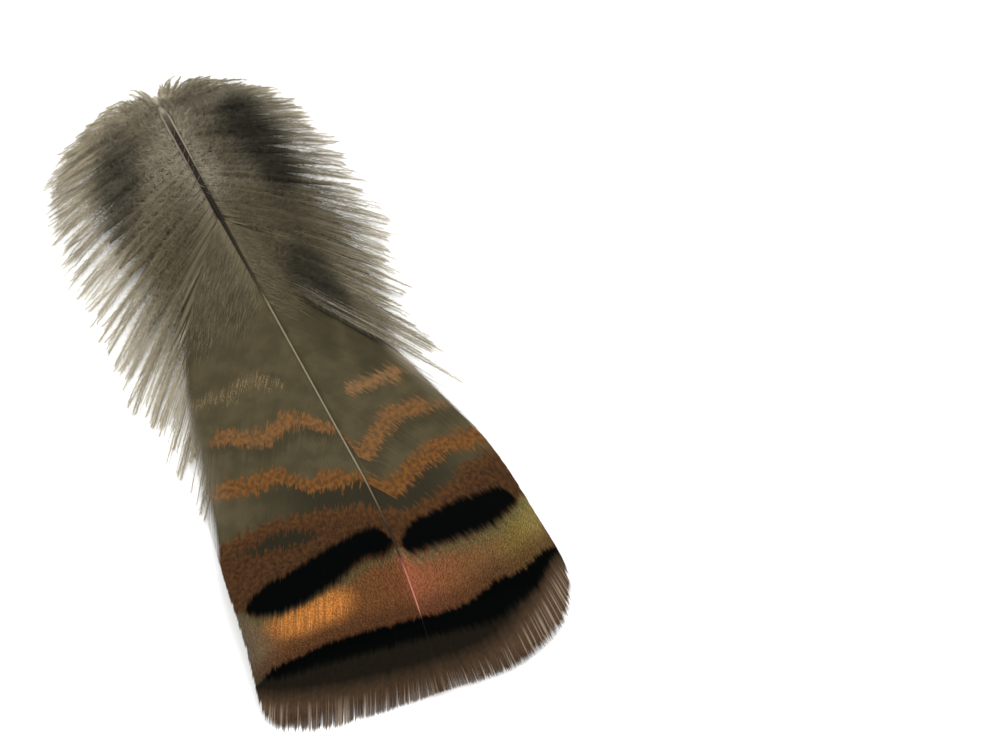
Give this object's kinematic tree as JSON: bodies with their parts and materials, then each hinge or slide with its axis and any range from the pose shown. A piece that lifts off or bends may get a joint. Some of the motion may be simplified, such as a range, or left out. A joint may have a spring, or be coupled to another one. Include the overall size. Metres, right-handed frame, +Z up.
{
  "type": "turkey tail covert feather",
  "caption": "Broad square-ended feather with a downy base, rufous bars, black bars round a copper band and a loose brown fringe; lies loose as trim or craft stock.",
  "frame": {"origin": "on the surface that the feather lies on, under the middle of its bounding box", "axes": "+Y from the tip towards the quill end, +X to the right seen from above with the tip nearest, +Z up out of the feather's upper side"},
  "size_m": [0.0504, 0.1122, 0.0077],
  "materials": {
    "shaft": "satin horn, pale at the quill end and dark along the middle",
    "vane": "olive brown web with rufous and black bars and a copper sheen",
    "down": "soft matt grey-brown fluff"
  },
  "bodies": {
    "root": {"shaft": "shaft", "left_vane": "vane", "right_vane": "vane", "left_down": "down", "right_down": "down"}
  },
  "joints": []
}
